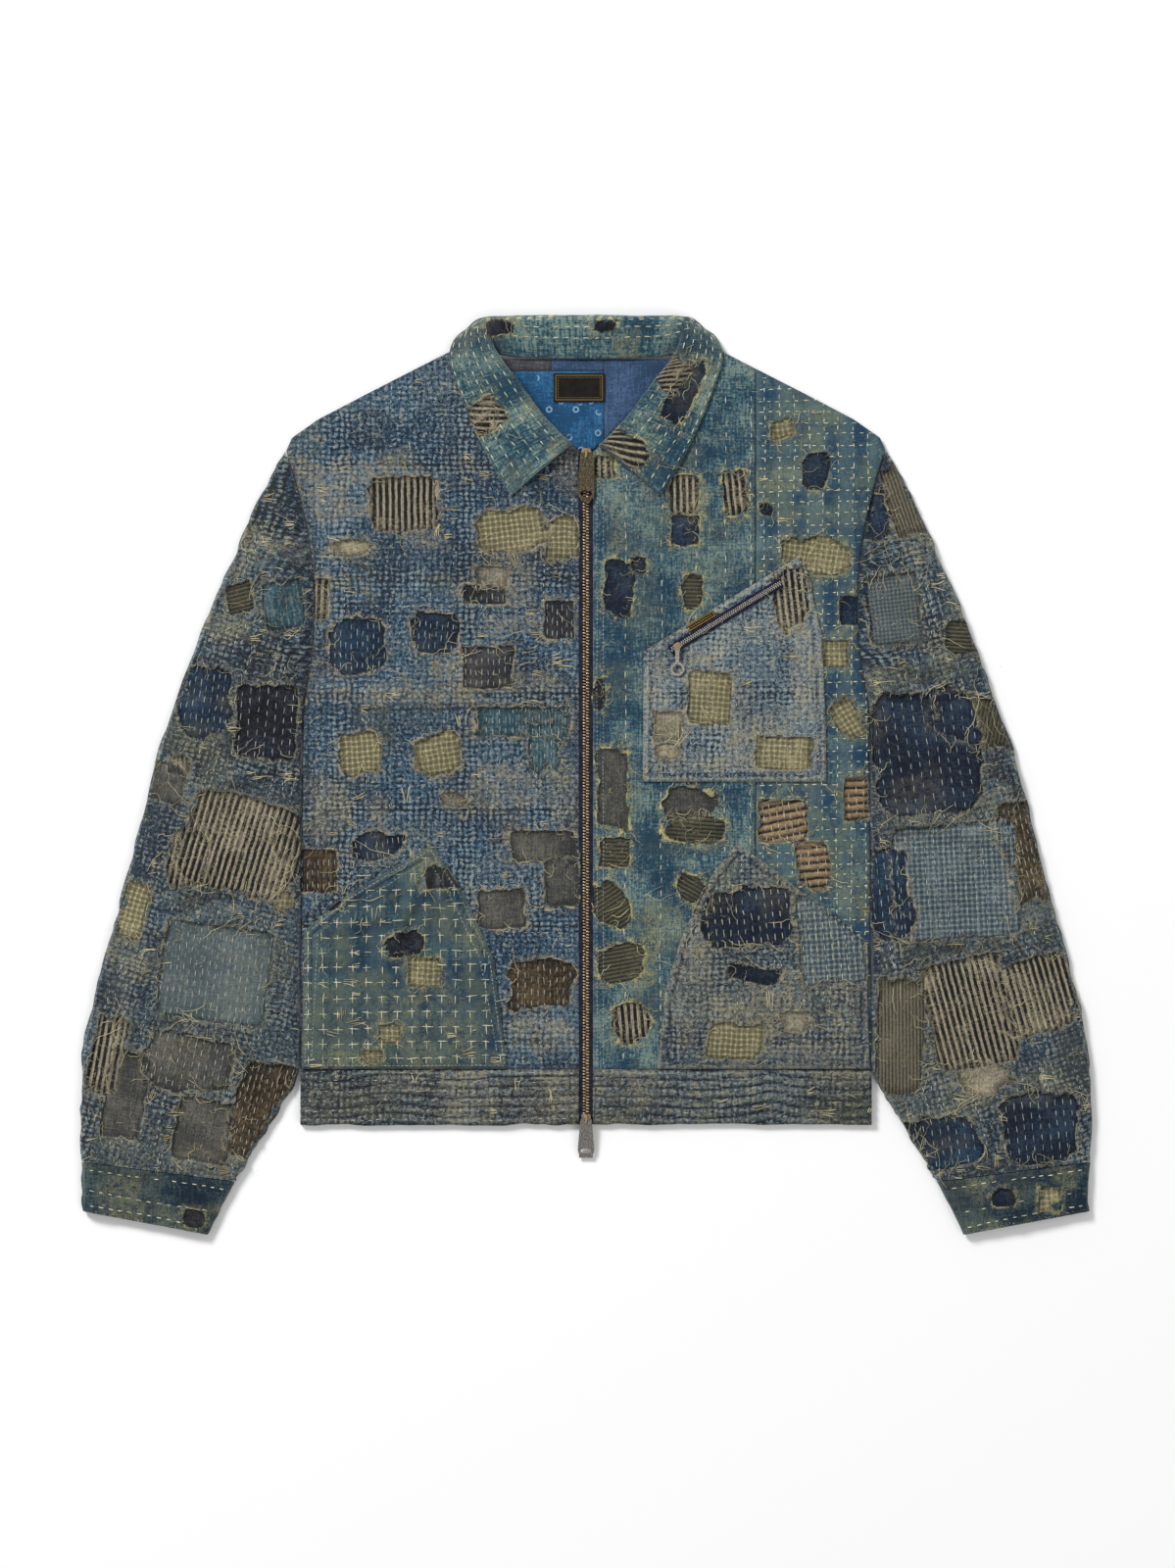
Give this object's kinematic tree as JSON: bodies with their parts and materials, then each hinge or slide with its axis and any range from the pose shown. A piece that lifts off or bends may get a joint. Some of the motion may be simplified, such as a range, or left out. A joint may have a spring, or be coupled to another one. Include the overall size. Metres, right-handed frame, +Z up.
{
  "type": "patched boro jacket",
  "caption": "Boxy patched and sashiko-stitched jacket with a shirt collar, front zip, slanted chest pocket and hand pockets, laid flat on its back.",
  "frame": {"origin": "middle of the jacket's box, on the surface that its back lies on", "axes": "+X towards the wearer's left sleeve, +Y towards the collar, +Z up from the surface, out of the front"},
  "size_m": [0.877, 0.797, 0.0176],
  "materials": {
    "tweed": "rough blue and cream slub cotton, darned and brushed",
    "worn_indigo": "washed indigo cotton with faded bars",
    "stitched_check": "faded indigo check with a grid of running stitch",
    "pale_tweed": "pale blue slub cotton",
    "grey_lining": "plain weave, matt",
    "blue_lining": "plain weave with small white rings, matt",
    "mauve_lining": "plain weave, matt",
    "brown_label": "woven label with a plain gold border and no words",
    "black_label": "woven tab, blank",
    "zip_tape": "herringbone tape",
    "brass": "aged",
    "old_brass": "antique, worn bright at the edges",
    "steel": "dull grey"
  },
  "bodies": {
    "jacket": {"back": "tweed", "front_right": "tweed", "front_left": "worn_indigo", "front_left_side": "stitched_check", "hem_band_back": "tweed", "hem_band_right": "tweed", "hem_band_left": "tweed", "sleeve_right": "tweed", "sleeve_left": "tweed", "cuff_right": "worn_indigo", "cuff_left": "worn_indigo", "collar": "worn_indigo", "lining_grey": "grey_lining", "lining_blue": "blue_lining", "lining_mauve": "mauve_lining", "neck_label": "brown_label", "pocket_right": "stitched_check", "pocket_left": "tweed", "pocket_chest": "pale_tweed", "pocket_tab_label": "black_label", "pocket_zip_tape": "zip_tape", "pocket_zip_chain": "steel", "pocket_zip_slider": "brass", "zip_tape_right": "zip_tape", "zip_tape_left": "zip_tape", "zip_chain": "brass", "zip_slider_top": "brass", "zip_slider_bottom": "brass"},
    "pull_top": {"zip_pull_top": "old_brass"},
    "pull_bottom": {"zip_pull_bottom": "steel"},
    "pull_pocket": {"pocket_zip_pull": "brass"}
  },
  "joints": [
    {"name": "top_pull_swing", "type": "hinge", "parent": "jacket", "child": "pull_top", "pos_m": [0, 0.2785, 0.0087], "axis": [-1, 0, 0], "range_deg": [0, 170]},
    {"name": "bottom_pull_swing", "type": "hinge", "parent": "jacket", "child": "pull_bottom", "pos_m": [0, -0.298, 0.0087], "axis": [-1, 0, 0], "range_deg": [0, 180]},
    {"name": "pocket_pull_swing", "type": "hinge", "parent": "jacket", "child": "pull_pocket", "pos_m": [0.07903, 0.11128, 0.01218], "axis": [-1, 0, 0], "range_deg": [0, 170]}
  ]
}
